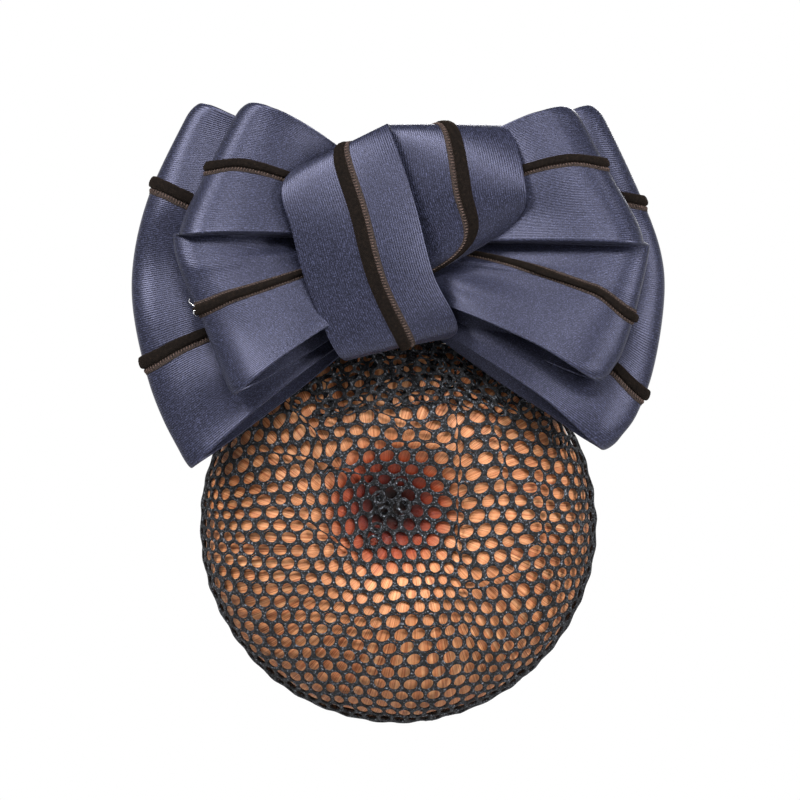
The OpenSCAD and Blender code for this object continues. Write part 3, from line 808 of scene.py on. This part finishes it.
def dome_outline(gap):
    """Radius and distance forward, from the middle of the dimple to the rim at the back."""
    rows = []
    for i in range(DIMPLE_STEPS + 1):
        k = i / DIMPLE_STEPS
        hollow = dimple_h * (1 + math.cos(math.pi * k)) / 2
        rows.append((crest_r * k, shoulder_y + shoulder_h - gap - hollow))
    for i in range(1, SHOULDER_STEPS + 1):
        a = math.pi / 2 * (1 - i / SHOULDER_STEPS)
        radius = crest_r + (net_r - gap - crest_r) * math.cos(a)
        rows.append((radius, shoulder_y + (shoulder_h - gap) * math.sin(a)))
    rows.append((net_r - gap, net_back))
    return np.array(rows)


def outline_at(s, outline, length):
    return np.array([np.interp(s, length, outline[:, i]) for i in (0, 1)])


def on_dome(s, angle):
    """A point of the dome at the arc length s from its middle, with its outward normal."""
    outline = dome_outline(0)
    length = run_lengths(outline)
    d = 0.8
    radius, forward = outline_at(s, outline, length)
    dr, df = outline_at(s + d, outline, length) - outline_at(s - d, outline, length)
    point = np.stack([radius * np.cos(angle), -forward, net_z + radius * np.sin(angle)], -1)
    normal = unit(np.stack([-df * np.cos(angle), -dr, -df * np.sin(angle)], -1))
    return point, normal


PITCH = 3.95
HOLE = 1.5
HOLE_UNEVEN = 0.06
NET_FOLDS = [  # ends in the flat net's own plane, and how strongly the net bunches there
    ((-38, 21), (-12, 14), 0.75), ((-24, 18), (-5, 11), 0.8), ((-26, 1), (-11, -7), 0.75),
    ((13, 34), (18, -10), 0.85), ((36, 19), (39, -8), 0.6), ((15, -16), (35, -11), 0.6),
    ((-12, 33), (10, 25), 0.75), ((-3, 22), (13, 21), 0.7), ((23, 30), (29, 8), 0.6),
    ((-30, 34), (-17, 22), 0.7)]
FOLD_REACH = 3.6


def bunched(p):
    """Draws the net together along its folds, and says how far it is lifted there."""
    # the knit is uneven at large and from hole to hole
    q = p
    for sway, wide, seed in ((1.1, 11, 21), (0.25, 3, 23)):
        x, y = p[:, 0] / wide, p[:, 1] / wide
        q = q + np.stack([sway * wavy(x, y, seed), sway * wavy(x, y, seed + 1)], 1)
    lift = np.zeros(len(p))
    for a, b, strength in NET_FOLDS:
        a, b = np.array(a, float), np.array(b, float)
        run = b - a
        size = np.linalg.norm(run)
        t = run / size
        n = np.array([-t[1], t[0]])
        along = (p - a) @ t / size
        off = (p - a) @ n
        inside = ease(along / 0.25 + 0.3) * ease((1 - along) / 0.25 + 0.3)
        near = np.exp(-(off / FOLD_REACH) ** 2) * inside
        q = q - (n[None] * (off * near * strength)[:, None])
        lift = lift + near
    # the net is gathered to its neck at the top: upright folds fan out from there
    angle = np.arctan2(q[:, 1], q[:, 0])
    s = np.linalg.norm(q, axis=1)
    top = np.exp(-((angle - np.pi / 2) / 0.85) ** 2) * ease((s - 20) / 30)
    angle = angle + 0.035 * top * np.sin(34 * angle)
    lift = lift + 0.9 * top * np.sin(34 * angle + 1.2)
    q = np.stack([s * np.cos(angle), s * np.sin(angle)], 1)
    return q, lift


CORNERS = 12
half_web = 0.42


def knit(name, inside_net, size, place, mat):
    """Knitted net: round holes in a brick grid. place() puts flat points on a surface."""
    row_h = PITCH * math.sqrt(3) / 2
    rows = int(size / row_h) + 2
    ring_angles = np.arange(CORNERS) * 2 * np.pi / CORNERS
    hex_r = PITCH / 2 / np.cos(((ring_angles + np.pi / 6) % (np.pi / 3)) - np.pi / 6)
    hex_dirs = np.stack([np.cos(ring_angles), np.sin(ring_angles)], 1)
    verts, faces, index = [], [], {}

    def vertex(x, y, tag):
        key = (round(x * 200), round(y * 200), tag)
        if key not in index:
            index[key] = len(verts)
            verts.append((x, y))
        return index[key]

    for j in range(-rows, rows + 1):
        for i in range(-rows, rows + 1):
            mid = np.array([(i + 0.5 * (j % 2)) * PITCH, j * row_h])
            if not inside_net(mid):
                continue
            hole = HOLE + rng.normal(0, HOLE_UNEVEN) + rng.normal(0, HOLE_UNEVEN, CORNERS)
            outer_ring = [vertex(*(mid + hex_dirs[c] * hex_r[c]), 0) for c in range(CORNERS)]
            inner_ring = [vertex(*(mid + hex_dirs[c] * hole[c]), 1) for c in range(CORNERS)]
            for c in range(CORNERS):
                d = (c + 1) % CORNERS
                faces.append((outer_ring[c], outer_ring[d], inner_ring[d], inner_ring[c]))
    at_hole = np.array([key[2] == 1 for key in index])
    mid, normal = place(np.array(verts))
    thick = np.where(at_hole, half_web * 0.7, half_web)[:, None]
    count = len(mid)
    faces = np.array(faces)
    edges = {}
    for f in faces:
        for a, b in zip(f, np.roll(f, -1)):
            edges[(a, b)] = 1
    # an edge that no second face shares is at a hole or at the rim, and gets a wall
    walls = np.array([(b, a, a + count, b + count) for (a, b) in edges if (b, a) not in edges])
    obj = new_object(name, np.concatenate([mid + normal * thick, mid - normal * thick]),
                     np.concatenate([faces, faces[:, ::-1] + count, walls]), mat)
    mod = obj.modifiers.new("round", "SUBSURF")
    mod.levels = mod.render_levels = 1
    return obj


net_reach = run_lengths(dome_outline(0))[-1] - 0.4
hem_w = 5
hem_run = 5.4


def on_bun(flat):
    """Points of the flat net on the bun, drawn in at the hem."""
    drawn, lift = bunched(flat)
    s = np.linalg.norm(drawn, axis=1)
    hem = net_reach - hem_w
    s = np.where(s > hem, hem + hem_run * np.tanh((s - hem) / hem_run), s)
    angle = np.arctan2(drawn[:, 1], drawn[:, 0])
    # the rim of the net is drawn into its hem, so that its sides are gathered in upright folds
    pleats = 0.3 * ease((s - 50) / 20) * np.sin(44 * angle)
    point, normal = on_dome(s, angle)
    height = 0.9 * lift + pleats - 0.5 + 0.12 * wavy(flat[:, 0] / 9, flat[:, 1] / 9, 4)
    return point + normal * height[:, None], normal


net_edge = net_reach + PITCH
net_mesh = knit("net_mesh", lambda mid: np.linalg.norm(mid) < net_edge, net_edge, on_bun, YARN)
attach(net_mesh, "bow")
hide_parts("net")


def forward_at(x, z):
    """How far forward the dome stands at a place seen from the front."""
    outline = dome_outline(0)
    r = np.hypot(x, z - net_z)
    return np.where(r < net_r, np.interp(r, outline[:-1, 0], outline[:-1, 1]), 0)


# the gathered top of the net, which falls in close folds over the top of the bun
NECK_HALF = 27
NECK_LONG = 24          # half its height in the flat
NECK_END = -33
FOLD_STEP = 6.8


def on_neck(flat):
    """Points of the flat top piece, hung from the tape and fanned out downwards."""
    a = flat[:, 0]
    down = (NECK_LONG - flat[:, 1]) / (2 * NECK_LONG)
    fan = lerp(12.5, 25, down)
    x = a / NECK_HALF * fan + 4.5 * down
    z = lerp(tape_low[2] + 0.5, NECK_END, down) + 1.2 * wavy(a / 7, down, 31) * down
    z = z + 0.004 * x ** 2 * (1 - 2 * down)
    folds = np.sin(a * 2 * np.pi / FOLD_STEP + 0.8 * wavy(a / 9, 2 * down, 32))
    fold_h = lerp(0.3, 1.1, ease(down * 3)) * (1 + folds)
    forward = np.maximum(forward_at(x, z) + 0.7, -tape_high[1] + 0.6) + fold_h
    p = np.stack([x, -forward, z], 1)
    tilt = np.cos(a * 2 * np.pi / FOLD_STEP) * 0.5
    normal = unit(np.stack([tilt, -np.ones_like(a), 0.3 * down], 1))
    return p, normal


def in_neck(mid):
    return abs(mid[0]) < NECK_HALF and abs(mid[1]) < NECK_LONG


neck = knit("net_neck", in_neck, NECK_HALF + 4, on_neck, YARN)
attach(neck, "bow")
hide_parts("net_gather")

# loose loops of the yarn, standing up where the net bunches: chains of places as (x, z)
CHAINS = [[(9.8, -21), (10.4, -24.5), (12.2, -28)], [(18.2, -20.5), (20, -24), (22.6, -28)],
          [(26, -31), (31, -34.5), (36, -38.5), (40, -43)],
          [(-4.6, -57), (-3.4, -60.5), (-5.2, -64.5), (-5.8, -68)],
          [(1.4, -59), (0.6, -54)], [(-20, -30), (-25, -34)]]
LOOP_YARN_R = 0.42


def loops():
    verts, faces = [], []
    around, section = 16, 6
    for chain in CHAINS:
        for x, z in chain:
            mid = np.array([x, -forward_at(x, z) - 1.2, z])
            facing = unit(np.array([rng.normal(0, 0.25), -1, rng.normal(0, 0.35)]))
            e1 = unit(np.cross(facing, [0, 0, 1.0]))
            e2 = np.cross(facing, e1)
            r = rng.uniform(1.35, 1.75)
            start = len(verts)
            for i in range(around):
                a = 2 * np.pi * i / around
                out = e1 * np.cos(a) * rng.uniform(0.8, 1.05) + e2 * np.sin(a)
                for k in range(section):
                    b = 2 * np.pi * k / section
                    ring_out = out * (r + LOOP_YARN_R * np.cos(b))
                    verts.append(mid + ring_out + facing * LOOP_YARN_R * np.sin(b))
            for i in range(around):
                for k in range(section):
                    n, m = (i + 1) % around, (k + 1) % section
                    faces.append((start + i * section + k, start + n * section + k,
                                  start + n * section + m, start + i * section + m))
    return new_object("net_loops", verts, faces, LOOSE_YARN)


net_loops = loops()
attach(net_loops, "bow")


# ---------------------------------------------------------------- the bun
ring_r = (sponge_high[0] - sponge_low[0]) / 2
ring_hole_share = 0.35
hair_gap = 1.35         # from the net to the hair
back_sunk = 2.5         # the hair inside the ring lies behind the ring's face


def make_hair():
    """Hair wound from the dimple over the dome to the back, and flat behind."""
    outline = dome_outline(hair_gap)
    back = -bun_high[1]
    outline[-1, 1] = back
    rows, cols = 220, 360
    length = run_lengths(outline)
    s = np.linspace(0.05, length[-1], rows)
    angle = np.arange(cols) * 2 * np.pi / cols
    ss, aa = np.meshgrid(s, angle, indexing="ij")
    radius, forward = outline_at(ss, outline, length)
    locks = 0.3 * np.sin(14 * aa + 0.09 * ss) * ease(ss / 20)
    locks = locks + 0.25 * wavy(3 * np.sin(aa), ss / 7 + 2 * np.cos(aa), 6)
    locks = locks * ease((length[-1] - ss) / 6) - 0.35
    swirl = aa + 0.55 * np.exp(-ss / 22)
    out = radius + locks
    p = np.stack([out * np.cos(swirl), -forward - locks * 0.5, net_z + out * np.sin(swirl)], -1)
    back_rows = 14
    back_r = np.linspace(radius[-1, 0] + locks[-1, 0], 0.2, back_rows + 1)[1:]
    back_p = []
    for r in back_r:
        depth = np.full(cols, -back - back_sunk * ease((ring_r + 0.8 - r) / 1.6))
        back_p.append(np.stack([r * np.cos(angle), depth, net_z + r * np.sin(angle)], -1))
    p = np.concatenate([p, np.array(back_p)])
    total = len(p)
    ring = np.arange(cols + 1) % cols
    p = p[:, ring]
    uv = np.stack([np.repeat(np.linspace(0, 110, total)[:, None], cols + 1, 1),
                   np.repeat((np.arange(cols + 1) * 2 * np.pi * 46 / cols)[None], total, 0)], -1)
    faces = grid_faces(total, cols + 1, False, 0, True)
    return new_object("bun_hair_wound", p.reshape(-1, 3), faces, HAIR, uv.reshape(-1, 2))


hair = make_hair()
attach(hair, "bun")
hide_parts("bun_hair")


def make_foam_ring():
    """The foam ring that the hair is wound on, with a slightly pitted surface."""
    inner = ring_r * ring_hole_share
    a, b = (ring_r - inner) / 2, (sponge_high[1] - sponge_low[1]) / 2
    around, section = 220, 72
    turn = np.arange(around) * 2 * np.pi / around
    tt, kk = np.meshgrid(turn, np.arange(section + 1) % section, indexing="ij")
    k = kk * 2 * np.pi / section
    square = 3.4        # power of the rounded square section
    size = (np.abs(np.cos(k)) ** square + np.abs(np.sin(k)) ** square) ** (-1 / square)
    pits = rng.normal(0, 0.05, (around, section))[:, kk[0]]
    radius = (ring_r + inner) / 2 + (a - 0.1 + pits) * size * np.cos(k)
    depth = (sponge_low[1] + sponge_high[1]) / 2 + (b - 0.05 + pits) * size * np.sin(k)
    p = np.stack([radius * np.cos(tt), depth, net_z + radius * np.sin(tt)], -1)
    faces = grid_faces(around, section + 1, True, 0, True)
    return new_object("bun_foam_ring", p.reshape(-1, 3), faces, SPONGE)


foam_ring = make_foam_ring()
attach(foam_ring, "bun")
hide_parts("bun_doughnut")


def soft_block(name, low, high, power, cells, mat):
    """A block with rounded edges and a slightly uneven surface."""
    verts, faces = [], []
    line = np.linspace(-1, 1, cells + 1)
    uu, vv = np.meshgrid(line, line, indexing="ij")
    for axis in range(3):
        for sign in (-1, 1):
            cube = np.zeros((cells + 1, cells + 1, 3))
            cube[..., axis] = sign
            cube[..., (axis + 1) % 3] = uu
            cube[..., (axis + 2) % 3] = vv
            faces.append(grid_faces(cells + 1, cells + 1, False, len(verts) * (cells + 1) ** 2, sign < 0))
            verts.append(cube)
    cube = np.array(verts).reshape(-1, 3)
    size = (np.abs(cube) ** power).sum(1) ** (-1 / power)
    half = (high - low) / 2
    uneven = 0.06
    p = cube * size[:, None] * (half - uneven)
    p = p + uneven * np.stack([wavy(p[:, 0] * 1.1, p[:, 2] * 1.1, 40 + i) for i in range(3)], 1)
    obj = new_object(name, p + (low + high) / 2, np.concatenate(faces), mat)
    mesh = bmesh.new()
    mesh.from_mesh(obj.data)
    bmesh.ops.remove_doubles(mesh, verts=mesh.verts, dist=0.002 * MM)
    bmesh.ops.recalc_face_normals(mesh, faces=mesh.faces)
    mesh.to_mesh(obj.data)
    mesh.free()
    return obj


pad = soft_block("felt_pad_soft", pad_low, pad_high, 12, 40, FELT)
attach(pad, "bow")
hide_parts("backing_pad")
header = soft_block("header_tape_woven", tape_low, tape_high, 16, 40, TAPE)
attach(header, "bow")
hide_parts("header_tape")


# ---------------------------------------------------------------- finish on the CAD nodes
FINISHES = (
    (NICKEL, ("barrette_plate", "hinge_pin", "clasp_arm", "release_wing_upper", "release_wing_lower")),
    (SPRING, ("tension_bar",)), (THREAD, ("sewing_stitches", "binding_thread")), (ELASTIC, ("net_elastic",)))
for mat, nodes in FINISHES:
    for node in nodes:
        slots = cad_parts[node].data.materials
        slots.clear()
        slots.append(mat)

# ---------------------------------------------------------------- floor, light and camera, in metres
floor_mesh = bpy.data.meshes.new("floor")
corners = [(-1.6, -1.4, 0), (1.6, -1.4, 0), (1.6, 1.2, 0), (-1.6, 1.2, 0)]
floor_mesh.from_pydata(corners, [], [(0, 1, 2, 3)])
floor = bpy.data.objects.new("floor", floor_mesh)
floor.location = (0, 0, -0.5)
bpy.context.scene.collection.objects.link(floor)
floor_paint, _, floor_surface = material("floor_paint")
paint(floor_surface, Base_Color=(0.9, 0.9, 0.9, 1), Roughness=0.9)
floor_mesh.materials.append(floor_paint)

bpy.context.scene.view_settings.view_transform = "Standard"
world = bpy.data.worlds.new("studio")
bpy.context.scene.world = world
world.use_nodes = True
sky = world.node_tree
# a bright ring at eye level, darker above and below, and weaker on the side of the front
direction = add(sky, "ShaderNodeSeparateXYZ")
sky.links.new(add(sky, "ShaderNodeTexCoord").outputs["Generated"], direction.inputs["Vector"])
steep = add(sky, "ShaderNodeMath", operation="ABSOLUTE")
sky.links.new(direction.outputs["Z"], steep.inputs[0])
level_ring = ramp(sky, steep.outputs[0], [(0.15, (1, 1, 1, 1)), (0.6, (0.12, 0.12, 0.12, 1))])
behind = add(sky, "ShaderNodeMapRange", From_Min=-0.1, From_Max=0.35, To_Min=0.4)
sky.links.new(direction.outputs["Y"], behind.inputs["Value"])
sky.links.new(level_ring, sky.nodes["Background"].inputs["Color"])
sky.links.new(behind.outputs["Result"], sky.nodes["Background"].inputs["Strength"])


bow_mid = (0, -0.02, -0.01)


def area_light(name, place, size, power):
    """A soft light that faces the middle of the bow."""
    data = bpy.data.lights.new(name, "AREA")
    data.shape = "RECTANGLE"
    data.size, data.size_y = size
    data.energy = power
    light = bpy.data.objects.new(name, data)
    light.location = place
    away = np.array(place, float) - np.array(bow_mid, float)
    light.rotation_euler = Vector(away).to_track_quat("Z", "Y").to_euler()
    bpy.context.scene.collection.objects.link(light)


area_light("key", (-0.45, -0.5, 0.5), (0.25, 0.25), 8.8)
area_light("fill", (0.5, -0.45, 0.12), (0.25, 0.3), 4)
area_light("front", (0.05, -0.75, 0.5), (0.3, 0.2), 6.5)
area_light("back", (0.15, 0.8, 0.35), (0.5, 0.3), 4)

SENSOR_W = 36
camera_away = 1.18      # metres to the middle of the bow's depth
view_w = 0.196
camera_data = bpy.data.cameras.new("camera")
camera_data.sensor_width = SENSOR_W
camera_data.lens = SENSOR_W * camera_away / view_w
camera = bpy.data.objects.new("camera", camera_data)
camera.location = (0.0005, -1.2, -0.033)
camera.rotation_euler = (math.pi / 2, 0, 0)
bpy.context.scene.collection.objects.link(camera)
bpy.context.scene.camera = camera
